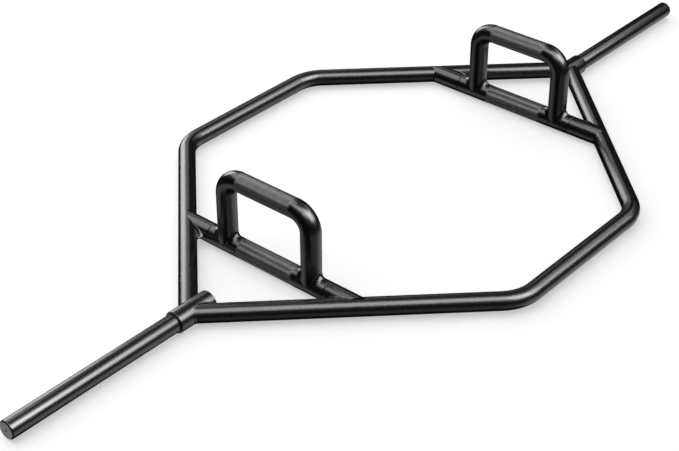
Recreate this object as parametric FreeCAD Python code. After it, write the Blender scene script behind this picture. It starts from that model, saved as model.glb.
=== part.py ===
"""Hex trap bar: a welded steel lifting bar that a lifter stands inside.

X runs along the bar, Y across it and Z up. The origin is on the floor under the middle of the hexagon.
"""
import FreeCAD, Part
import math
import os

# Plate sleeves, millimetres
OVERALL_LENGTH = 1420.0
SLEEVE_DIAMETER = 25.0
SLEEVE_TIP_CHAMFER = 1.5
RELIEF_WIDTH = 2.0
RELIEF_DEPTH = 1.0
SHANK_DIAMETER = 20.0
SHANK_PROUD = 2.5
CENTRE_HOLE_DIAMETER = 3.0
CENTRE_HOLE_DEPTH = 6.0

# Collars at the two ends of the hexagon
COLLAR_DIAMETER = 30.0
COLLAR_INNER_X = 387.0
COLLAR_OUTER_X = 448.0
COLLAR_CHAMFER = 0.8

# Bent frame tubes: the centre lines of their legs meet on the bar's axis
OVERALL_WIDTH = 619.0
FRAME_DIAMETER = 25.0
FRAME_WALL = 2.5
FRAME_APEX_X = 423.5
FRAME_CORNER_X = 131.7
FRAME_BEND_RADIUS = 61.0

# Low grips and the plain stubs that carry them to the centre lines of the frame legs
GRIP_X = 276.0
GRIP_DIAMETER = 28.0
RING_GROOVE_WIDTH = 1.0
RING_GROOVE_DEPTH = 2.2
SPIGOT_LENGTH = 10.0
STUB_LENGTH = 48.1
STUB_WALL = 3.0

# Raised handles
HANDLE_DIAMETER = 27.5
HANDLE_WALL = 3.0
HANDLE_RISE = 102.7
UPRIGHT_Y = 73.0
HANDLE_BEND_RADIUS = 26.0

# Weld beads: radius of the bead, and how far round each joint a part bead reaches
COLLAR_BEAD_RADIUS = 2.2
STUB_BEAD_RADIUS = 3.5
STUB_BEAD_REACH = 55.0
HANDLE_BEAD_RADIUS = 5.0
HANDLE_BEAD_REACH = 10.0
SLEEVE_BEAD_LEG = 2.5
COLLAR_BEAD_STEPS = 8

# Clearances
ROOT_GAP = 0.3
BEAD_GAP = 0.05
SHANK_CLEARANCE = 0.1
SPIGOT_CLEARANCE = 0.1

# Sizes that follow from the ones above
V = FreeCAD.Vector
UP = V(0, 0, 1)
AXIS_Z = COLLAR_DIAMETER / 2
TIP_X = OVERALL_LENGTH / 2
SLEEVE_R = SLEEVE_DIAMETER / 2
SHANK_R = SHANK_DIAMETER / 2
COLLAR_R = COLLAR_DIAMETER / 2
FRAME_R = FRAME_DIAMETER / 2
FRAME_CORNER_Y = OVERALL_WIDTH / 2 - FRAME_R
GRIP_R = GRIP_DIAMETER / 2
HANDLE_R = HANDLE_DIAMETER / 2
STUB_BORE_R = GRIP_R - STUB_WALL
LEG_Y_AT_GRIP = (FRAME_APEX_X - GRIP_X) * FRAME_CORNER_Y / (FRAME_APEX_X - FRAME_CORNER_X)
GRIP_HALF_LENGTH = LEG_Y_AT_GRIP - STUB_LENGTH


def export(shape, name):
    """Writes one node of the assembly."""
    shape.exportStep("parts/" + name + ".step")


def other_end(shape):
    """The same piece at the other end of the bar."""
    return shape.mirror(V(0, 0, 0), V(1, 0, 0))


def other_side(shape):
    """The same piece on the other side of the bar, front to rear."""
    return shape.mirror(V(0, 0, 0), V(0, 1, 0))


def turned(profile, centre, along):
    """Turned solid from (distance along the axis, radius) points."""
    points = [centre + along * distance + UP * radius for distance, radius in profile]
    points.append(points[0])
    return Part.Face(Part.makePolygon(points)).revolve(centre, along, 360)


def bent_path(points, bend_radius):
    """Centre line of a bent tube: straight runs joined by arcs tangent to both."""
    edges = []
    start = points[0]
    for before, corner, after in zip(points, points[1:], points[2:]):
        back = (before - corner).normalize()
        ahead = (after - corner).normalize()
        half_angle = back.getAngle(ahead) / 2
        setback = bend_radius / math.tan(half_angle)
        inward = (back + ahead).normalize()
        arc_start = corner + back * setback
        arc_middle = corner + inward * (bend_radius / math.sin(half_angle) - bend_radius)
        arc_end = corner + ahead * setback
        edges.append(Part.makeLine(start, arc_start))
        edges.append(Part.Arc(arc_start, arc_middle, arc_end).toShape())
        start = arc_end
    edges.append(Part.makeLine(start, points[-1]))
    return Part.Wire(edges)


def round_bar(path, radius):
    """Round solid of one radius along a centre line."""
    first = path.Edges[0]
    start = first.valueAt(first.FirstParameter)
    heading = first.tangentAt(first.FirstParameter)
    ring = Part.Wire(Part.makeCircle(radius, start, heading))
    return path.makePipeShell([ring], True, False)


def frame_corners():
    """Corner points of the front frame tube's centre line."""
    return [
        V(-FRAME_APEX_X, 0, AXIS_Z),
        V(-FRAME_CORNER_X, -FRAME_CORNER_Y, AXIS_Z),
        V(FRAME_CORNER_X, -FRAME_CORNER_Y, AXIS_Z),
        V(FRAME_APEX_X, 0, AXIS_Z),
    ]


def leg_start_and_way():
    """Where the right leg of the front frame tube leaves the bar's axis, and the way it runs."""
    start = V(FRAME_APEX_X, 0, AXIS_Z)
    corner = V(FRAME_CORNER_X, -FRAME_CORNER_Y, AXIS_Z)
    return start, (corner - start).normalize()


def leg_cylinder(radius):
    """Solid cylinder along the whole right leg of the front frame tube."""
    start, way = leg_start_and_way()
    return Part.makeCylinder(radius, math.hypot(FRAME_APEX_X, FRAME_CORNER_Y), start, way)


def collar_cylinder(radius):
    """Solid cylinder on the bar's axis, longer than a collar at both ends."""
    return Part.makeCylinder(radius, TIP_X, V(0, 0, AXIS_Z), V(1, 0, 0))


def grip_cylinder(radius):
    """Solid cylinder along the right low grip and its stubs."""
    start = V(GRIP_X, -FRAME_CORNER_Y, AXIS_Z)
    return Part.makeCylinder(radius, 2 * FRAME_CORNER_Y, start, V(0, 1, 0))


def frame_tube():
    """Bent frame tube, its two ends coped to sit on the collars."""
    path = bent_path(frame_corners(), FRAME_BEND_RADIUS)
    tube = round_bar(path, FRAME_R).cut(round_bar(path, FRAME_R - FRAME_WALL))
    cope = collar_cylinder(COLLAR_R + ROOT_GAP)
    return tube.cut(cope).cut(other_end(cope))


def collar():
    """Hub with a bore for the sleeve's shank and a chamfer at both rims."""
    bore = SHANK_R + SHANK_CLEARANCE
    profile = [
        (COLLAR_INNER_X, bore),
        (COLLAR_INNER_X, COLLAR_R - COLLAR_CHAMFER),
        (COLLAR_INNER_X + COLLAR_CHAMFER, COLLAR_R),
        (COLLAR_OUTER_X - COLLAR_CHAMFER, COLLAR_R),
        (COLLAR_OUTER_X, COLLAR_R - COLLAR_CHAMFER),
        (COLLAR_OUTER_X, bore),
    ]
    return turned(profile, V(0, 0, AXIS_Z), V(1, 0, 0))


def sleeve():
    """Plate sleeve: shank, relief groove at the shoulder, plain wall, chamfered and centre-drilled tip."""
    shank_end = COLLAR_INNER_X - SHANK_PROUD
    relief_end = COLLAR_OUTER_X + RELIEF_WIDTH
    hole_r = CENTRE_HOLE_DIAMETER / 2
    hole_floor = TIP_X - CENTRE_HOLE_DEPTH
    profile = [
        (shank_end, 0),
        (shank_end, SHANK_R),
        (COLLAR_OUTER_X, SHANK_R),
        (COLLAR_OUTER_X, SLEEVE_R - RELIEF_DEPTH),
        (relief_end, SLEEVE_R - RELIEF_DEPTH),
        (relief_end, SLEEVE_R),
        (TIP_X - SLEEVE_TIP_CHAMFER, SLEEVE_R),
        (TIP_X, SLEEVE_R - SLEEVE_TIP_CHAMFER),
        (TIP_X, hole_r),
        (hole_floor, hole_r),
        (hole_floor - hole_r, 0),
    ]
    return turned(profile, V(0, 0, AXIS_Z), V(1, 0, 0))


def low_grip():
    """Solid grip bar with a ring groove at each shoulder and a turned spigot beyond it."""
    spigot_r = STUB_BORE_R - SPIGOT_CLEARANCE
    spigot_end = GRIP_HALF_LENGTH + SPIGOT_LENGTH
    groove_start = GRIP_HALF_LENGTH - RING_GROOVE_WIDTH
    half = [
        (groove_start, GRIP_R),
        (groove_start, GRIP_R - RING_GROOVE_DEPTH),
        (GRIP_HALF_LENGTH, GRIP_R - RING_GROOVE_DEPTH),
        (GRIP_HALF_LENGTH, spigot_r),
        (spigot_end, spigot_r),
        (spigot_end, 0),
    ]
    other_half = [(-distance, radius) for distance, radius in reversed(half)]
    return turned(other_half + half, V(GRIP_X, 0, AXIS_Z), V(0, 1, 0))


def stub():
    """Plain end tube of a low grip, cut on the line of the frame leg and coped over it."""
    profile = [
        (GRIP_HALF_LENGTH, STUB_BORE_R),
        (GRIP_HALF_LENGTH, GRIP_R),
        (FRAME_CORNER_Y, GRIP_R),
        (FRAME_CORNER_Y, STUB_BORE_R),
    ]
    tube = turned(profile, V(GRIP_X, 0, AXIS_Z), V(0, -1, 0))
    outline = frame_corners()
    outline.append(outline[0])
    inside = Part.Face(Part.makePolygon(outline)).extrude(UP * (2 * GRIP_DIAMETER))
    inside.translate(UP * -GRIP_DIAMETER)
    return tube.common(inside).cut(leg_cylinder(FRAME_R + ROOT_GAP))


def raised_handle():
    """U-bent handle tube, its feet coped to sit on the low grip."""
    points = [
        V(GRIP_X, -UPRIGHT_Y, AXIS_Z),
        V(GRIP_X, -UPRIGHT_Y, AXIS_Z + HANDLE_RISE),
        V(GRIP_X, UPRIGHT_Y, AXIS_Z + HANDLE_RISE),
        V(GRIP_X, UPRIGHT_Y, AXIS_Z),
    ]
    path = bent_path(points, HANDLE_BEND_RADIUS)
    tube = round_bar(path, HANDLE_R).cut(round_bar(path, HANDLE_R - HANDLE_WALL))
    return tube.cut(grip_cylinder(GRIP_R + ROOT_GAP))


def collar_weld():
    """Bead all round the joint of a frame leg and its collar, as an upper and a lower half."""
    start, way = leg_start_and_way()
    across = way.cross(UP)
    points = []
    for step in range(COLLAR_BEAD_STEPS + 1):
        angle = math.pi * step / COLLAR_BEAD_STEPS
        height = FRAME_R * math.sin(angle)
        offset = FRAME_R * math.cos(angle)
        reach_y = -math.sqrt(COLLAR_R ** 2 - height ** 2)
        along = (reach_y - offset * across.y) / way.y
        points.append(start + way * along + across * offset + UP * height)
    curve = Part.BSplineCurve()
    curve.interpolate(points)
    upper = round_bar(Part.Wire(curve.toShape()), COLLAR_BEAD_RADIUS)
    upper = upper.cut(collar_cylinder(COLLAR_R + BEAD_GAP)).cut(leg_cylinder(FRAME_R + BEAD_GAP))
    below = Part.makeBox(TIP_X, TIP_X, AXIS_Z, V(0, -TIP_X + COLLAR_DIAMETER, 0))
    upper = upper.cut(below)
    lower = upper.mirror(V(0, 0, AXIS_Z), UP)
    return Part.makeCompound(upper.Solids + lower.Solids)


def arc_bead(points, radius):
    """Part bead along the arc through three points of a joint."""
    return round_bar(Part.Wire(Part.Arc(*points).toShape()), radius)


def stub_weld():
    """Two beads at the joint of a stub and its frame leg, one on each flank."""
    start, way = leg_start_and_way()
    inward = V(way.y, -way.x, 0)
    beads = []
    for flank in (-1, 1):
        points = []
        for angle in (-STUB_BEAD_REACH, 0, STUB_BEAD_REACH):
            height = FRAME_R * math.sin(math.radians(angle))
            offset = FRAME_R * math.cos(math.radians(angle))
            reach_x = GRIP_X + flank * math.sqrt(GRIP_R ** 2 - height ** 2)
            along = (reach_x - start.x - offset * inward.x) / way.x
            points.append(start + way * along + inward * offset + UP * height)
        bead = arc_bead(points, STUB_BEAD_RADIUS)
        bead = bead.cut(grip_cylinder(GRIP_R + BEAD_GAP))
        beads.append(bead.cut(leg_cylinder(FRAME_R + BEAD_GAP)))
    return Part.makeCompound(beads)


def handle_weld():
    """Two beads at one foot of a raised handle, one on each face along the grip."""
    foot = V(GRIP_X, -UPRIGHT_Y, AXIS_Z)
    upright = Part.makeCylinder(HANDLE_R + BEAD_GAP, HANDLE_RISE, foot, UP)
    beads = []
    for facing in (-1, 1):
        points = []
        for across in (-HANDLE_BEAD_REACH, 0, HANDLE_BEAD_REACH):
            along = facing * math.sqrt(HANDLE_R ** 2 - across ** 2)
            height = math.sqrt(GRIP_R ** 2 - across ** 2)
            points.append(foot + V(across, along, height))
        bead = arc_bead(points, HANDLE_BEAD_RADIUS)
        beads.append(bead.cut(upright).cut(grip_cylinder(GRIP_R + BEAD_GAP)))
    return Part.makeCompound(beads)


def sleeve_weld():
    """Ring bead that holds the shank's inner end on the collar."""
    inner_r = SHANK_R + BEAD_GAP
    profile = [
        (COLLAR_INNER_X, inner_r),
        (COLLAR_INNER_X, inner_r + SLEEVE_BEAD_LEG),
        (COLLAR_INNER_X - SLEEVE_BEAD_LEG, inner_r),
    ]
    return turned(profile, V(0, 0, AXIS_Z), V(1, 0, 0))


def export_ends(shape, name):
    """Writes the right piece and its mirror image at the left end."""
    export(shape, "right_" + name)
    export(other_end(shape), "left_" + name)


def export_corners(shape, name):
    """Writes a piece that sits at all four corners, front and rear."""
    export_ends(shape, "front_" + name)
    export_ends(other_side(shape), "rear_" + name)


def build():
    """Makes every piece of the bar."""
    os.makedirs("parts", exist_ok=True)
    front = frame_tube()
    export(front, "front_frame_tube")
    export(other_side(front), "rear_frame_tube")
    export_ends(collar(), "collar")
    export_ends(sleeve(), "sleeve")
    export_ends(sleeve_weld(), "sleeve_weld")
    export_ends(low_grip(), "low_grip")
    export_ends(raised_handle(), "raised_handle")
    export_corners(stub(), "stub")
    export_corners(collar_weld(), "collar_weld")
    export_corners(stub_weld(), "stub_weld")
    export_corners(handle_weld(), "handle_weld")


build()
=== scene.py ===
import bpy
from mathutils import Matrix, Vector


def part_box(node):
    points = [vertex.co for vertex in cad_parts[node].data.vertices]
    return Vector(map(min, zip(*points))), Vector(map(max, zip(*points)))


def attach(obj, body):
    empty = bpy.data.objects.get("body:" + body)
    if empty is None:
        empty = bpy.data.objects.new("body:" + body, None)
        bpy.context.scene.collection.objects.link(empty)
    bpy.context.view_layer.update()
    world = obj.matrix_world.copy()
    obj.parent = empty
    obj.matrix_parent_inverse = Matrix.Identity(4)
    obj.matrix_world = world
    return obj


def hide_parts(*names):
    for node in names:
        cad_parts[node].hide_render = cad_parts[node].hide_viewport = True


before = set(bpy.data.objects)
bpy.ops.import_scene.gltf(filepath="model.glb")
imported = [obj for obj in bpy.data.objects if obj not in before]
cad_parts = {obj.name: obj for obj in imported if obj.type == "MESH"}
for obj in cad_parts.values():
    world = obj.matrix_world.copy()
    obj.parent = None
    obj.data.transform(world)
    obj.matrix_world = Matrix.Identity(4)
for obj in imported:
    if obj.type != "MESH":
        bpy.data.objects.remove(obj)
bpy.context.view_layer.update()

import math
import bmesh
import bpy
from mathutils import Quaternion, Vector

# Frame tubes. Two round steel tubes, cold bent twice each, make the long sides of the hexagon.
# Their ends are coped to the collars and welded, and the whole weldment is sprayed with black
# polyester powder and baked.
MM = 0.001


def box_mm(node):
    """Lowest and highest corners of a node of the frame, in millimetres."""
    return [Vector(corner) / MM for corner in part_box(node)]


UP = Vector((0, 0, 1))
SIDES = {"front": -1, "rear": 1}
TUBE_FACETS = 64
tube_low, tube_high = box_mm("front_frame_tube")
collar_low, collar_high = box_mm("right_collar")
FRAME_R = (tube_high.z - tube_low.z) / 2
AXIS_Z = (tube_high.z + tube_low.z) / 2
COLLAR_R = (collar_high.z - collar_low.z) / 2
FRAME_CORNER_Y = -tube_low.y - FRAME_R
FRAME_APEX_X = 423.5
FRAME_CORNER_X = 131.7
FRAME_BEND_RADIUS = 61.0
BEND_STEPS = 16
WALL_OVERLAP = 0.2
SHARP_ANGLE = math.radians(32)


def linear(hex_colour):
    """sRGB hex to a linear colour with alpha."""
    shares = [int(hex_colour[i:i + 2], 16) / 255 for i in (1, 3, 5)]
    return [s / 12.92 if s <= 0.04045 else ((s + 0.055) / 1.055) ** 2.4 for s in shares] + [1.0]


def add_node(tree, kind, settings, links):
    """Adds a shader node, sets its sockets and properties by name, and links outputs into it."""
    node = tree.nodes.new(kind)
    for name, value in settings.items():
        if name in node.inputs:
            node.inputs[name].default_value = value
        else:
            setattr(node, name, value)
    for name, output in links.items():
        tree.links.new(output, node.inputs[name])
    return node


def new_material(name):
    """An empty material with its shader and its object-space coordinates."""
    material = bpy.data.materials.new(name)
    material.use_nodes = True
    tree = material.node_tree
    place = add_node(tree, "ShaderNodeTexCoord", {}, {}).outputs["Object"]
    return material, tree, tree.nodes["Principled BSDF"], place


def make_piece(name, points, faces, material, slot, nodes, smooth=True):
    """Makes one closed mesh piece in the frame from millimetres, with all its faces turned outward."""
    mesh = bpy.data.meshes.new(name)
    mesh.from_pydata([Vector(point) * MM for point in points], [], faces)
    shell = bmesh.new()
    shell.from_mesh(mesh)
    bmesh.ops.recalc_face_normals(shell, faces=shell.faces)
    shell.to_mesh(mesh)
    shell.free()
    mesh.polygons.foreach_set("use_smooth", [smooth] * len(mesh.polygons))
    mesh.set_sharp_from_angle(angle=SHARP_ANGLE)
    mesh.materials.append(material)
    mesh.update()
    piece = bpy.data.objects.new(name, mesh)
    bpy.context.scene.collection.objects.link(piece)
    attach(piece, "root")
    if nodes:
        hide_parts(*nodes)


def skin(rings, closed=False):
    """Points and faces of a skin over rings of equal count, capped at both ends or closed on itself."""
    count = len(rings[0])
    points = [point for ring in rings for point in ring]
    faces = []
    for row in range(len(rings) if closed else len(rings) - 1):
        here = row * count
        there = (row + 1) % len(rings) * count
        for k in range(count):
            after = (k + 1) % count
            faces.append((here + k, here + after, there + after, there + k))
    if not closed:
        faces.append(tuple(reversed(range(count))))
        faces.append(tuple(range(len(points) - count, len(points))))
    return points, faces


def ring_round(centre, way, plane_normal, radius):
    """Circle of points round a tube's centre line."""
    across = way.cross(plane_normal)
    angles = [2 * math.pi * k / TUBE_FACETS for k in range(TUBE_FACETS)]
    return [centre + (across * math.cos(a) + plane_normal * math.sin(a)) * radius for a in angles]


def bent_run(corners, bend_radius):
    """Places and headings along a bent tube: straight runs joined by tangent arcs."""
    heading = (corners[1] - corners[0]).normalized()
    run = [(corners[0], heading)]
    for before, corner, after in zip(corners, corners[1:], corners[2:]):
        back = (before - corner).normalized()
        ahead = (after - corner).normalized()
        half_angle = back.angle(ahead) / 2
        inward = (back + ahead).normalized()
        centre = corner + inward * bend_radius / math.sin(half_angle)
        arm = corner + back * bend_radius / math.tan(half_angle) - centre
        swing = math.pi - 2 * half_angle
        turn_axis = ahead.cross(back).normalized()
        for step in range(BEND_STEPS + 1):
            turn = Quaternion(turn_axis, swing * step / BEND_STEPS)
            run.append((centre + turn @ arm, turn @ -back))
    run.append((corners[-1], (corners[-1] - corners[-2]).normalized()))
    return run


def slid(ring, way, reach):
    """An end ring slid along its tube, each point by its own reach, to fit another round wall."""
    return [point + way * reach(point) for point in ring]


# Black polyester powder coat, sprayed and baked: a hard semi-gloss film with a slight orange peel. The
# eye sees soft grey highlights on black with a faint grain from the peel, which is about 0.8 mm from
# dimple to dimple and is drawn at 2 mm to show.
PEEL_MM = 2.0
PEEL_DEPTH_MM = 0.15
GLOSS_DRIFT_MM = 7.0
frame_coat, tree, shader, place = new_material("black_powder_coat_baked")
shader.inputs["Base Color"].default_value = linear("#0a0a0b")
shader.inputs["Specular IOR Level"].default_value = 1.0
peel = add_node(
    tree, "ShaderNodeTexVoronoi", {"feature": "SMOOTH_F1", "Smoothness": 0.8, "Scale": 1 / (PEEL_MM * MM)},
    {"Vector": place},
)
bump = add_node(
    tree, "ShaderNodeBump", {"Strength": 0.3, "Distance": PEEL_DEPTH_MM * MM},
    {"Height": peel.outputs["Distance"]},
)
drift = add_node(
    tree, "ShaderNodeTexNoise", {"Scale": 1 / (GLOSS_DRIFT_MM * MM), "Detail": 4.0}, {"Vector": place}
)
gloss = add_node(
    tree, "ShaderNodeMapRange", {"From Min": 0.3, "From Max": 0.7, "To Min": 0.265, "To Max": 0.295},
    {"Value": drift.outputs["Fac"]},
)
tree.links.new(gloss.outputs["Result"], shader.inputs["Roughness"])
tree.links.new(bump.outputs["Normal"], shader.inputs["Normal"])


def to_collar(side, way):
    """How far a point of a frame tube's end slides along the tube to meet the collar's wall."""
    def reach(point):
        wall = math.sqrt((COLLAR_R - WALL_OVERLAP) ** 2 - (point.z - AXIS_Z) ** 2)
        return (side * wall - point.y) / way.y
    return reach


for side_name, side in SIDES.items():
    corners = [
        Vector((-FRAME_APEX_X, 0, AXIS_Z)),
        Vector((-FRAME_CORNER_X, side * FRAME_CORNER_Y, AXIS_Z)),
        Vector((FRAME_CORNER_X, side * FRAME_CORNER_Y, AXIS_Z)),
        Vector((FRAME_APEX_X, 0, AXIS_Z)),
    ]
    run = bent_run(corners, FRAME_BEND_RADIUS)
    rings = [ring_round(centre, way, UP, FRAME_R) for centre, way in run]
    for last in (0, -1):
        way = run[last][1]
        rings[last] = slid(rings[last], way, to_collar(side, way))
    node = side_name + "_frame_tube"
    make_piece(node + "_bent", *skin(rings), frame_coat, "frame_coat", [node])

# Collars. Two short thick-walled hubs, turned and bored from bar, close the ends of the hexagon
# and take the sleeves' shanks. They are welded to the frame tubes and coated with them.
ENDS = {"left": -1, "right": 1}
BAR_WAY = Vector((1, 0, 0))
MIDDLE = Vector((0, 0, AXIS_Z))
COLLAR_INNER_X = collar_low.x
COLLAR_OUTER_X = collar_high.x
COLLAR_BORE_R = 10.1
COLLAR_CHAMFER = 0.8
EDGE_SOFTNESS = 0.35
EDGE_STEPS = 3


def softened(profile, size):
    """A turned profile with each corner rounded by a small curve, over a third of its sides at most."""
    soft = [Vector(profile[0])]
    for before, corner, after in zip(profile, profile[1:], profile[2:]):
        before, corner, after = Vector(before), Vector(corner), Vector(after)
        into = (before - corner).normalized() * min(size, (before - corner).length / 3)
        out = (after - corner).normalized() * min(size, (after - corner).length / 3)
        for step in range(EDGE_STEPS + 1):
            t = step / EDGE_STEPS
            soft.append(corner + into * (1 - t) ** 2 + out * t ** 2)
    soft.append(Vector(profile[-1]))
    return soft


def turned(profile, centre, way, closed=False):
    """Points and faces of a turned piece from (distance along the axis, radius) points."""
    across = way.orthogonal().normalized()
    rings = []
    for distance, radius in profile:
        rings.append(ring_round(centre + way * distance, way, across, radius))
    return skin(rings, closed)


collar_profile = [
    (COLLAR_INNER_X, COLLAR_BORE_R),
    (COLLAR_INNER_X, COLLAR_R - COLLAR_CHAMFER),
    (COLLAR_INNER_X + COLLAR_CHAMFER, COLLAR_R),
    (COLLAR_OUTER_X - COLLAR_CHAMFER, COLLAR_R),
    (COLLAR_OUTER_X, COLLAR_R - COLLAR_CHAMFER),
    (COLLAR_OUTER_X, COLLAR_BORE_R),
]
for end, way_x in ENDS.items():
    hub = turned(softened(collar_profile, EDGE_SOFTNESS), MIDDLE, BAR_WAY * way_x, closed=True)
    make_piece(end + "_collar_turned", *hub, frame_coat, "frame_coat", [end + "_collar"])

# Collar welds. A bead of mild steel runs all round the joint of each frame tube and its collar,
# with faint ripples from the welder's steps, and the coat lies over it.
COLLAR_WELD_BALL = 3.5
COLLAR_WELD_BULGE = 0.6
CROTCH_THINNING = 0.85
FULL_TURN = (0, 360)
WELD_END_SHARE = 0.15
WELD_END_FULLNESS = 0.6
WELD_STEPS = 120
WELD_ARC_STEPS = 8
WELD_ROOT = 0.4
RIPPLE_HEIGHT = 0.12
RIPPLE_PITCH = 2.6


def beside(tube, other, margin, out, root):
    """Point a margin off the walls of two tubes, each a (place, way, radius), out from the first."""
    centre, way, radius = tube
    other_centre, other_way, other_radius = other
    base = centre + out * (radius + margin)
    gap = base - other_centre
    gap -= other_way * gap.dot(other_way)
    slope = way - other_way * way.dot(other_way)
    a = slope.dot(slope)
    b = gap.dot(slope)
    c = gap.dot(gap) - (other_radius + margin) ** 2
    return base + way * ((-b + root * math.sqrt(max(b * b - a * c, 0))) / a)


def weld_section(tube, other, ball, out, root, rise):
    """One slice of a weld: a hollow arc from wall to wall, filled up by rise, and its root."""
    other_centre, other_way, _ = other
    middle = beside(tube, other, ball, out, root)
    corner = beside(tube, other, -WELD_ROOT, out, root)
    other_out = middle - other_centre
    other_out = (other_out - other_way * other_out.dot(other_way)).normalized()
    turn = out.rotation_difference(other_out)
    section = [corner]
    for step in range(WELD_ARC_STEPS + 1):
        share = step / WELD_ARC_STEPS
        point = middle - Quaternion().slerp(turn, share) @ out * ball
        swell = rise * math.sin(math.pi * share)
        section.append(point + (point - corner).normalized() * swell)
    return section


def fillet_weld(tube, other, ball, bulge, root, zero, span, thin_way=Vector(), end_share=WELD_END_SHARE):
    """Weld along the joint of two tubes, over a span of degrees round the first one, counted from zero.

    It lies where the first tube leaves the other one (root 1) or enters it (root -1). Its hollow of
    radius ball is filled up by bulge at the middle. The bead is thinner on the side of the first tube
    that faces thin_way. A part bead shrinks towards its ends to end_share of its size.
    """
    _, way, radius = tube
    start, stop = span
    side = way.cross(zero)
    full = span == FULL_TURN
    sections = []
    for step in range(WELD_STEPS if full else WELD_STEPS + 1):
        share = step / WELD_STEPS
        angle = math.radians(start + (stop - start) * share)
        out = zero * math.cos(angle) + side * math.sin(angle)
        fullness = math.sin(math.pi * share) ** WELD_END_FULLNESS
        taper = 1 if full else end_share + (1 - end_share) * fullness
        taper *= 1 - max(out.dot(thin_way), 0)
        phase = 2 * math.pi * (radius + ball) * angle / RIPPLE_PITCH
        rise = (bulge + RIPPLE_HEIGHT * (0.5 + 0.5 * math.cos(phase))) * taper
        sections.append(weld_section(tube, other, ball * taper, out, root, rise))
    return skin(sections, closed=full)


# Thick gloss of black powder over weld metal: the film flows into the hollow, so the eye sees small
# bright glints and ripples on black. Its lumps are about as wide as one ripple.
LUMP_MM = 2.4
LUMP_HEIGHT_MM = 0.2
weld_coat, tree, shader, place = new_material("black_powder_coat_over_weld")
shader.inputs["Base Color"].default_value = linear("#080809")
shader.inputs["Specular IOR Level"].default_value = 1.0
shader.inputs["Roughness"].default_value = 0.24
lumps = add_node(
    tree, "ShaderNodeTexNoise", {"Scale": 1 / (LUMP_MM * MM), "Detail": 2.0}, {"Vector": place}
)
bump = add_node(
    tree, "ShaderNodeBump", {"Strength": 0.3, "Distance": LUMP_HEIGHT_MM * MM},
    {"Height": lumps.outputs["Fac"]},
)
tree.links.new(bump.outputs["Normal"], shader.inputs["Normal"])

collar = (MIDDLE, BAR_WAY, COLLAR_R)
LEG_LINES = {}
for end, way_x in ENDS.items():
    for side_name, side in SIDES.items():
        apex = Vector((way_x * FRAME_APEX_X, 0, AXIS_Z))
        corner = Vector((way_x * FRAME_CORNER_X, side * FRAME_CORNER_Y, AXIS_Z))
        leg = (apex, (corner - apex).normalized(), FRAME_R)
        LEG_LINES[end, side_name] = leg
        thin_way = Vector((-way_x * CROTCH_THINNING, 0, 0))
        weld = fillet_weld(leg, collar, COLLAR_WELD_BALL, COLLAR_WELD_BULGE, 1, UP, FULL_TURN, thin_way)
        node = end + "_" + side_name + "_collar_weld"
        make_piece(node + "_rippled", *weld, weld_coat, "weld_coat", [node])

# Plate sleeves. Each is a turned steel bar with a smaller shank inside its collar, a relief groove
# where plates stop, and a chamfered tip whose face still shows the rings of the facing tool.
sleeve_low, sleeve_high = box_mm("right_sleeve")
SLEEVE_R = (sleeve_high.z - sleeve_low.z) / 2
TIP_X = sleeve_high.x
SHANK_END_X = sleeve_low.x
SHANK_R = 10.0
RELIEF_WIDTH = 2.0
RELIEF_DEPTH = 1.0
TIP_CHAMFER = 1.5
CENTRE_HOLE_R = 1.5
CENTRE_HOLE_DEPTH = 6.0
FACING_PITCH = 1.3
FACING_DEPTH = 0.12
AXIS_CLOSING_R = 0.01

# Thin satin black coat on turned steel: it darkens the metal but leaves it smooth, so the eye sees one
# long, clear highlight with a fine grain and dark edges, and a lighter face at the tip. Turning marks
# about 0.2 mm apart are drawn at 0.9 mm, and a grain of about 0.3 mm at 1 mm.
TURNING_MM = 0.9
TURNING_DEPTH_MM = 0.03
GRAIN_MM = 1.0
BAND_AT_SCALE_1 = 2 * math.pi / 20
sleeve_finish, tree, shader, place = new_material("thin_satin_black_coat_on_turned_steel")
shader.inputs["Metallic"].default_value = 0.9
surface = add_node(tree, "ShaderNodeNewGeometry", {}, {})
heading = add_node(tree, "ShaderNodeSeparateXYZ", {}, {"Vector": surface.outputs["True Normal"]})
endwise = add_node(tree, "ShaderNodeMath", {"operation": "ABSOLUTE"}, {"Value": heading.outputs["X"]})
on_face = add_node(
    tree, "ShaderNodeMapRange", {"From Min": 0.85, "From Max": 0.95}, {"Value": endwise.outputs["Value"]}
)
tone = add_node(tree, "ShaderNodeValToRGB", {}, {"Fac": on_face.outputs["Result"]})
tone.color_ramp.elements[0].color = linear("#585859")
tone.color_ramp.elements[1].color = linear("#9c9c9d")
marks = add_node(
    tree, "ShaderNodeTexWave",
    {"bands_direction": "X", "Scale": BAND_AT_SCALE_1 / (TURNING_MM * MM), "Detail": 2.0},
    {"Vector": place},
)
bump = add_node(
    tree, "ShaderNodeBump", {"Strength": 0.04, "Distance": TURNING_DEPTH_MM * MM},
    {"Height": marks.outputs["Fac"]},
)
grain = add_node(
    tree, "ShaderNodeTexNoise", {"Scale": 1 / (GRAIN_MM * MM), "Detail": 3.0}, {"Vector": place}
)
gloss = add_node(
    tree, "ShaderNodeMapRange", {"To Min": 0.23, "To Max": 0.3}, {"Value": grain.outputs["Fac"]}
)
tree.links.new(tone.outputs["Color"], shader.inputs["Base Color"])
tree.links.new(gloss.outputs["Result"], shader.inputs["Roughness"])
tree.links.new(bump.outputs["Normal"], shader.inputs["Normal"])

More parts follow.
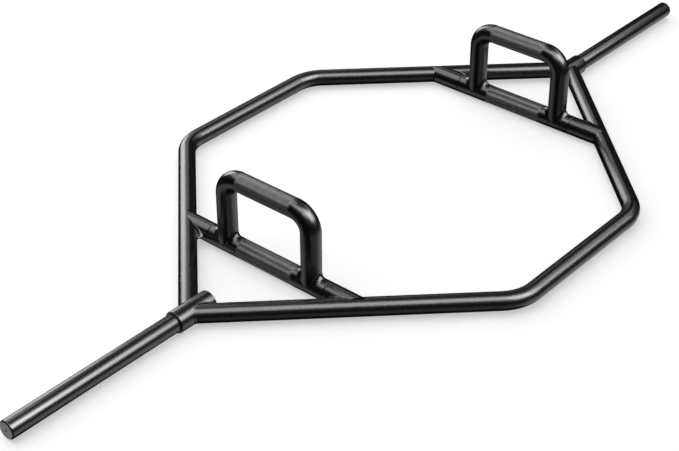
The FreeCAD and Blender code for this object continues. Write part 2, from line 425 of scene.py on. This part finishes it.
relief_end = COLLAR_OUTER_X + RELIEF_WIDTH
hole_floor = TIP_X - CENTRE_HOLE_DEPTH
face_r = SLEEVE_R - TIP_CHAMFER
sleeve_profile = [
    (SHANK_END_X, AXIS_CLOSING_R),
    (SHANK_END_X, SHANK_R),
    (COLLAR_OUTER_X, SHANK_R),
    (COLLAR_OUTER_X, SLEEVE_R - RELIEF_DEPTH),
    (relief_end, SLEEVE_R - RELIEF_DEPTH),
    (relief_end, SLEEVE_R),
    (TIP_X - TIP_CHAMFER, SLEEVE_R),
    (TIP_X, face_r),
]
rings_on_face = int((face_r - CENTRE_HOLE_R) / FACING_PITCH)
for step in range(1, 2 * rings_on_face):
    depth = FACING_DEPTH if step % 2 else 0
    sleeve_profile.append((TIP_X - depth, face_r - step * FACING_PITCH / 2))
sleeve_profile += [
    (TIP_X, CENTRE_HOLE_R),
    (hole_floor, CENTRE_HOLE_R),
    (hole_floor - CENTRE_HOLE_R, AXIS_CLOSING_R),
]
for end, way_x in ENDS.items():
    bar = turned(softened(sleeve_profile, EDGE_SOFTNESS), MIDDLE, BAR_WAY * way_x)
    make_piece(end + "_sleeve_turned", *bar, sleeve_finish, "sleeve_coat", [end + "_sleeve"])

# Sleeve welds. A ring bead of mild steel on the inner end of each shank locks the sleeve in its collar.
# It sits inside the crotch of the frame tubes and is coated with them.
SLEEVE_WELD_LEG = 2.5
SLEEVE_WELD_GAP = 0.05
SLEEVE_WELD_SHAPE = ((0, 0), (0, 1), (0.45, 0.75), (0.9, 0.3), (1, 0))
bead_profile = []
for leg_along, leg_out in SLEEVE_WELD_SHAPE:
    bead_r = SHANK_R + SLEEVE_WELD_GAP + SLEEVE_WELD_LEG * leg_out
    bead_profile.append((COLLAR_INNER_X - SLEEVE_WELD_LEG * leg_along, bead_r))
for end, way_x in ENDS.items():
    bead = turned(bead_profile, MIDDLE, BAR_WAY * way_x, closed=True)
    make_piece(end + "_sleeve_weld_ring", *bead, weld_coat, "weld_coat", [end + "_sleeve_weld"])

# Low grips. Solid bars across the hexagon at frame height, turned down at the ends to plug into the
# stubs. The middle of each is rolled with a diamond knurl for the hands.
grip_low, grip_high = box_mm("right_low_grip")
GRIP_WAY = Vector((0, 1, 0))
GRIP_R = (grip_high.z - grip_low.z) / 2
GRIP_X = (grip_high.x + grip_low.x) / 2
GRIP_END_Y = box_mm("right_rear_stub")[0].y
SPIGOT_END_Y = grip_high.y
SPIGOT_R = 10.9
RING_GROOVE_WIDTH = 1.0
RING_GROOVE_DEPTH = 2.2
GROOVE_SOFTNESS = 0.6
LOW_KNURL_HALF = 48.5
KNURL_DEPTH = 0.37
KNURL_WIDTH = 2.8
KNURL_LENGTH = 3.5
KNURL_SEAT = 0.6


def knurled_band(centre, way, radius, half_length):
    """Points and faces of a diamond-knurled band: one pyramid per diamond on a plain inner wall."""
    columns = 2 * round(2 * math.pi * radius / KNURL_WIDTH)
    rows = 2 * round(2 * half_length / KNURL_LENGTH)
    across = way.orthogonal().normalized()
    side = way.cross(across)
    points = []
    for row in range(-1, rows + 2):
        share = min(max(row, 0), rows) / rows
        for column in range(columns):
            angle = 2 * math.pi * column / columns
            if row in (-1, rows + 1):
                reach = radius - KNURL_SEAT
            elif row in (0, rows) or (row + column) % 2:
                reach = radius - KNURL_DEPTH
            else:
                reach = radius
            out = across * math.cos(angle) + side * math.sin(angle)
            points.append(centre + way * half_length * (2 * share - 1) + out * reach)
    faces = []
    ring_count = rows + 3
    plain_rows = (0, rows + 1, rows + 2)
    for row in range(ring_count):
        here = row * columns
        there = (row + 1) % ring_count * columns
        for column in range(columns):
            after = (column + 1) % columns
            if row in plain_rows:
                faces.append((here + column, here + after, there + after, there + column))
            elif (row - 1 + column) % 2:
                faces.append((here + column, here + after, there + after))
                faces.append((here + column, there + after, there + column))
            else:
                faces.append((here + column, here + after, there + column))
                faces.append((here + after, there + after, there + column))
    return points, faces


# Knurled steel under a thin dry coat: the rolled pyramids throw light every way and their crests wear
# first, so the eye sees a lighter, broken grey band with a fine diagonal hatch. The 1.2 mm diamonds of
# such a grip are drawn 2.8 mm wide to show.
CREST_WEAR_MM = 9.0
knurl_coat, tree, shader, place = new_material("thin_black_coat_on_rolled_knurl")
wear = add_node(
    tree, "ShaderNodeTexNoise", {"Scale": 1 / (CREST_WEAR_MM * MM), "Detail": 4.0}, {"Vector": place}
)
tone = add_node(tree, "ShaderNodeValToRGB", {}, {"Fac": wear.outputs["Fac"]})
tone.color_ramp.elements[0].color = linear("#606061")
tone.color_ramp.elements[1].color = linear("#7c7c7d")
tree.links.new(tone.outputs["Color"], shader.inputs["Base Color"])
shader.inputs["Roughness"].default_value = 0.3
shader.inputs["Metallic"].default_value = 0.9

# Gloss black powder on the drawn bar and handle tubes: smoother than on the frame, so the bends carry
# clear bright spots, with only a slight peel about 1.2 mm wide drawn at 2 mm.
HANDLE_PEEL_MM = 2.0
HANDLE_PEEL_DEPTH_MM = 0.1
SMUDGE_MM = 60.0
handle_coat, tree, shader, place = new_material("gloss_black_powder_coat")
shader.inputs["Base Color"].default_value = linear("#080809")
shader.inputs["Specular IOR Level"].default_value = 1.0
peel = add_node(
    tree, "ShaderNodeTexNoise", {"Scale": 1 / (HANDLE_PEEL_MM * MM), "Detail": 2.0}, {"Vector": place}
)
smudge = add_node(
    tree, "ShaderNodeTexNoise", {"Scale": 1 / (SMUDGE_MM * MM), "Detail": 3.0}, {"Vector": place}
)
gloss = add_node(
    tree, "ShaderNodeMapRange", {"To Min": 0.22, "To Max": 0.32}, {"Value": smudge.outputs["Fac"]}
)
bump = add_node(
    tree, "ShaderNodeBump", {"Strength": 0.2, "Distance": HANDLE_PEEL_DEPTH_MM * MM},
    {"Height": peel.outputs["Fac"]},
)
tree.links.new(gloss.outputs["Result"], shader.inputs["Roughness"])
tree.links.new(bump.outputs["Normal"], shader.inputs["Normal"])

half_grip = [
    (LOW_KNURL_HALF, GRIP_R - KNURL_SEAT),
    (LOW_KNURL_HALF, GRIP_R),
    (GRIP_END_Y - RING_GROOVE_WIDTH, GRIP_R),
    (GRIP_END_Y - RING_GROOVE_WIDTH, GRIP_R - RING_GROOVE_DEPTH),
    (GRIP_END_Y, GRIP_R - RING_GROOVE_DEPTH),
    (GRIP_END_Y, SPIGOT_R),
    (SPIGOT_END_Y, SPIGOT_R),
    (SPIGOT_END_Y, AXIS_CLOSING_R),
]
grip_profile = [(-distance, radius) for distance, radius in reversed(half_grip)] + half_grip
GRIP_LINES = {}
for end, way_x in ENDS.items():
    centre = Vector((way_x * GRIP_X, 0, AXIS_Z))
    GRIP_LINES[end] = (centre, GRIP_WAY, GRIP_R)
    bar = turned(softened(grip_profile, GROOVE_SOFTNESS), centre, GRIP_WAY)
    make_piece(end + "_low_grip_bar", *bar, handle_coat, "grip_coat", [end + "_low_grip"])
    band = knurled_band(centre, GRIP_WAY, GRIP_R, LOW_KNURL_HALF)
    make_piece(end + "_low_grip_knurl", *band, knurl_coat, "grip_coat", [], smooth=False)

# Stubs. Plain tubes that carry each low grip to the frame, mitred on the line of the frame tube and
# coped over it. The fine groove where a stub meets its grip shows all round.
STUB_BORE_R = 11.0
RIM_LENGTH = 2.0


def square_to(leg, way):
    """Level direction square to a leg of the frame, on the side that way points to."""
    normal = UP.cross(leg[1])
    return normal * math.copysign(1, normal.dot(way))


def to_leg(leg, way):
    """How far a point of a stub's end slides along the stub to meet the frame tube's wall."""
    apex, _, leg_r = leg
    normal = square_to(leg, way)

    def reach(point):
        drop = max((leg_r - WALL_OVERLAP) ** 2 - (point.z - AXIS_Z) ** 2, 0)
        return ((apex - point).dot(normal) - math.sqrt(drop)) / way.dot(normal)
    return reach


rim = [(GRIP_END_Y, STUB_BORE_R), (GRIP_END_Y, GRIP_R), (GRIP_END_Y + RIM_LENGTH, GRIP_R)]
outer_rim = softened(rim, GROOVE_SOFTNESS)[1:]
for end, (centre, _, _) in GRIP_LINES.items():
    for side_name, side in SIDES.items():
        way = GRIP_WAY * side
        reach = to_leg(LEG_LINES[end, side_name], way)
        rings = [ring_round(centre + way * distance, way, UP, radius) for distance, radius in outer_rim]
        rings.append(slid(rings[-1], way, reach))
        bore_rim = ring_round(centre + way * GRIP_END_Y, way, UP, STUB_BORE_R)
        rings += [slid(bore_rim, way, reach), bore_rim]
        node = end + "_" + side_name + "_stub"
        make_piece(node + "_coped", *skin(rings, closed=True), handle_coat, "grip_coat", [node])

# Stub welds. A bead of mild steel on each flank of the stub, along its cope, drawn out thin towards both
# ends. The one in the sharp corner on the collar's side is filled up full. The coat lies over them.
STUB_WELD_BALL = 4.8
CORNER_BULGE = 4.0
FAR_BULGE = 0.0
STUB_WELD_SPAN = (-56, 56)


def pair(first, second):
    """Points and faces of two meshes as one."""
    count = len(first[0])
    return first[0] + second[0], first[1] + [tuple(k + count for k in face) for face in second[1]]


for end, grip in GRIP_LINES.items():
    for side_name, side in SIDES.items():
        leg = LEG_LINES[end, side_name]
        inward = square_to(leg, -GRIP_WAY * side)
        beads = []
        for root, bulge in ((-1, CORNER_BULGE), (1, FAR_BULGE)):
            beads.append(fillet_weld(leg, grip, STUB_WELD_BALL, bulge, root, inward, STUB_WELD_SPAN))
        node = end + "_" + side_name + "_stub_weld"
        make_piece(node + "_rippled", *pair(*beads), weld_coat, "weld_coat", [node])

# Raised handles. Round steel tubes bent into a U and coped to stand on the low grips, with a knurled
# band rolled into the straight top. They are coated like the grips.
handle_low, handle_high = box_mm("right_raised_handle")
HANDLE_R = (handle_high.x - handle_low.x) / 2
TOP_Z = handle_high.z - HANDLE_R
UPRIGHT_Y = 73.0
HANDLE_BEND_RADIUS = 26.0
UPRIGHT_START_Z = TOP_Z - 2 * HANDLE_BEND_RADIUS
TOP_KNURL_HALF = 46.8


def to_grip(point):
    """How far a point of the handle's foot slides to meet the low grip's wall."""
    wall = math.sqrt((GRIP_R - WALL_OVERLAP) ** 2 - (abs(point.x) - GRIP_X) ** 2)
    return abs(point.z - AXIS_Z - wall)


for end, way_x in ENDS.items():
    x = way_x * GRIP_X
    corners = [
        Vector((x, -UPRIGHT_Y, UPRIGHT_START_Z)),
        Vector((x, -UPRIGHT_Y, TOP_Z)),
        Vector((x, UPRIGHT_Y, TOP_Z)),
        Vector((x, UPRIGHT_Y, UPRIGHT_START_Z)),
    ]
    run = bent_run(corners, HANDLE_BEND_RADIUS)
    rings = [ring_round(centre, way, BAR_WAY, HANDLE_R) for centre, way in run]
    under_knurl = []
    for y, radius in (
        (-TOP_KNURL_HALF, HANDLE_R), (-TOP_KNURL_HALF, HANDLE_R - KNURL_SEAT),
        (TOP_KNURL_HALF, HANDLE_R - KNURL_SEAT), (TOP_KNURL_HALF, HANDLE_R),
    ):
        under_knurl.append(ring_round(Vector((x, y, TOP_Z)), GRIP_WAY, BAR_WAY, radius))
    middle = len(rings) // 2
    rings = rings[:middle] + under_knurl + rings[middle:]
    for last in (0, -1):
        rings[last] = slid(rings[last], -UP, to_grip)
    node = end + "_raised_handle"
    make_piece(node + "_tube", *skin(rings), handle_coat, "handle_coat", [node])
    band = knurled_band(Vector((x, 0, TOP_Z)), GRIP_WAY, HANDLE_R, TOP_KNURL_HALF)
    make_piece(node + "_knurl", *band, knurl_coat, "handle_coat", [], smooth=False)

# Handle welds. A hollow, faintly rippled fillet before and behind each foot, of mild steel under the
# coat. It thins out towards the flanks, where the two round walls run together by themselves.
HANDLE_WELD_BALL = 9.0
HANDLE_WELD_SPAN = (-78, 78)
for end, grip in GRIP_LINES.items():
    for side_name, side in SIDES.items():
        foot = (grip[0] + GRIP_WAY * side * UPRIGHT_Y, UP, HANDLE_R)
        beads = []
        for facing in (GRIP_WAY, -GRIP_WAY):
            bead = fillet_weld(foot, grip, HANDLE_WELD_BALL, 0, 1, facing, HANDLE_WELD_SPAN, end_share=1)
            beads.append(bead)
        node = end + "_" + side_name + "_handle_weld"
        make_piece(node + "_rippled", *pair(*beads), weld_coat, "weld_coat", [node])

# Studio. The bar lies on a matt white floor inside a lit white wall that curves up from it. A dim dome
# and one big panel over the bar's rear side light the floor. Soft cards all round, above and below,
# are there only to be mirrored in the black coats. Its sizes are in metres.
WALL_R = 12.0
WALL_HEIGHT = 7.0
COVE_R = 3.0
COVE_STEPS = 12


def stage_piece(name, points, faces, paint):
    """One piece of the studio, in metres, that isn't mirrored in the coats and casts no shadow."""
    mesh = bpy.data.meshes.new(name)
    mesh.from_pydata(points, [], faces)
    mesh.materials.append(paint)
    piece = bpy.data.objects.new(name, mesh)
    bpy.context.scene.collection.objects.link(piece)
    piece.visible_glossy = False
    piece.visible_shadow = False
    return piece


# Matt white floor paint, lit a little from within, and more towards the wall: the eye sees even white
# with soft, light grey shadows close to the bar.
GLOW_RISES_AT = 2.0
GLOW_FULL_AT = 5.0
FLOOR_GLOW = 0.48
WALL_GLOW = 1.0
floor_paint, tree, shader, place = new_material("matt_white_floor_paint")
shader.inputs["Base Color"].default_value = linear("#f4f4f4")
shader.inputs["Roughness"].default_value = 0.9
shader.inputs["Emission Color"].default_value = linear("#ffffff")
away = add_node(tree, "ShaderNodeVectorMath", {"operation": "LENGTH"}, {"Vector": place})
glow = add_node(
    tree, "ShaderNodeMapRange",
    {"From Min": GLOW_RISES_AT, "From Max": GLOW_FULL_AT, "To Min": FLOOR_GLOW, "To Max": WALL_GLOW},
    {"Value": away.outputs["Value"]},
)
tree.links.new(glow.outputs["Result"], shader.inputs["Emission Strength"])
floor_corners = [(-WALL_R, -WALL_R, 0), (WALL_R, -WALL_R, 0), (WALL_R, WALL_R, 0), (-WALL_R, WALL_R, 0)]
stage_piece("floor", floor_corners, [(0, 1, 2, 3)], floor_paint)

# White cloth lit from behind: the eye sees plain white with no horizon.
wall_cloth, _, shader, _ = new_material("white_cloth_lit_from_behind")
shader.inputs["Base Color"].default_value = linear("#f4f4f4")
shader.inputs["Roughness"].default_value = 0.9
shader.inputs["Emission Color"].default_value = linear("#ffffff")
shader.inputs["Emission Strength"].default_value = WALL_GLOW
wall_line = []
for step in range(COVE_STEPS + 1):
    angle = math.pi / 2 * step / COVE_STEPS
    wall_line.append((WALL_R - COVE_R * (1 - math.sin(angle)), COVE_R * (1 - math.cos(angle))))
wall_line.append((WALL_R, WALL_HEIGHT))
rings = [ring_round(UP * height, UP, BAR_WAY, radius) for radius, height in wall_line]
wall_points, wall_faces = skin(rings)
uncapped_faces = wall_faces[:-2]
wall = stage_piece("wall", wall_points, uncapped_faces, wall_cloth)
wall.visible_diffuse = False

DOME_GLOW = 0.2
dome = bpy.data.worlds.new("dim_dome")
dome.use_nodes = True
dome.node_tree.nodes["Background"].inputs["Color"].default_value = linear("#ffffff")
dome.node_tree.nodes["Background"].inputs["Strength"].default_value = DOME_GLOW
dome.cycles_visibility.glossy = False
bpy.context.scene.world = dome


def soft_light(name, azimuth, elevation, distance, width, height, radiance, mirrored):
    """Rectangular soft light of even brightness, aimed at the bar's middle, with its angles in degrees.

    It is either mirrored in the coats and lights nothing else, or lights the floor and isn't mirrored.
    """
    lamp = bpy.data.lights.new(name, "AREA")
    lamp.shape = "RECTANGLE"
    lamp.size = width
    lamp.size_y = height
    lamp.energy = radiance * math.pi * width * height
    light = bpy.data.objects.new(name, lamp)
    around, above = math.radians(azimuth), math.radians(elevation)
    level = math.cos(above) * distance
    light.location = (level * math.cos(around), level * math.sin(around), math.sin(above) * distance)
    light.rotation_euler = (-Vector(light.location)).to_track_quat("-Z", "Y").to_euler()
    light.visible_diffuse = not mirrored
    light.visible_glossy = mirrored
    light.visible_camera = False
    bpy.context.scene.collection.objects.link(light)


soft_light(
    "rear_overhead_panel", azimuth=102, elevation=64, distance=4.5,
    width=9.0, height=8.0, radiance=0.78, mirrored=False,
)
soft_light(
    "rear_softbox", azimuth=102, elevation=55, distance=5.0,
    width=4.4, height=3.2, radiance=2.1, mirrored=True,
)
CARD_DISTANCE = 8.0
for name, azimuth, elevation, width, height, radiance in (
    ("left_top_card", 164, 60, 3.6, 3.2, 3.0),
    ("right_front_card", -53, 39, 4.8, 4.6, 5.7),
    ("right_card", -14, 42, 3.6, 3.0, 1.5),
    ("front_card", -82, 47, 4.0, 5.4, 6.3),
    ("top_front_card", -125, 62, 6.2, 6.0, 3.8),
    ("rear_low_card", 73, 18, 3.6, 4.6, 4.25),
    ("rear_right_card", 46, 31, 2.6, 2.2, 1.1),
    ("right_bounce_card", -40, -38, 12.0, 6.0, 0.7),
    ("front_bounce_card", -115, -38, 7.0, 6.0, 0.23),
    ("rear_bounce_card", 126, -38, 7.0, 5.0, 0.4),
):
    soft_light(name, azimuth, elevation, CARD_DISTANCE, width, height, radiance, mirrored=True)

# Camera. It stands at the photograph's place: to the front left of the bar, looking down on it with a
# long lens.
VIEW_AZIMUTH = math.radians(40.647)
VIEW_ELEVATION = math.radians(33.564)
VIEW_ROLL = math.radians(-0.067)
VIEW_TARGET = Vector((-0.1519, -0.0134, AXIS_Z * MM))
VIEW_DISTANCE = 2.0847
LENS_MM = 82.40
SENSOR_MM = 36.0
forward = Vector((
    math.cos(VIEW_ELEVATION) * math.cos(VIEW_AZIMUTH),
    math.cos(VIEW_ELEVATION) * math.sin(VIEW_AZIMUTH),
    -math.sin(VIEW_ELEVATION),
))
camera = bpy.data.objects.new("camera", bpy.data.cameras.new("camera"))
camera.data.lens = LENS_MM
camera.data.sensor_width = SENSOR_MM
camera.location = VIEW_TARGET - forward * VIEW_DISTANCE
level = forward.to_track_quat("-Z", "Y")
camera.rotation_euler = (level @ Quaternion((0, 0, 1), VIEW_ROLL)).to_euler()
bpy.context.scene.collection.objects.link(camera)
bpy.context.scene.camera = camera
bpy.context.scene.view_settings.view_transform = "Standard"
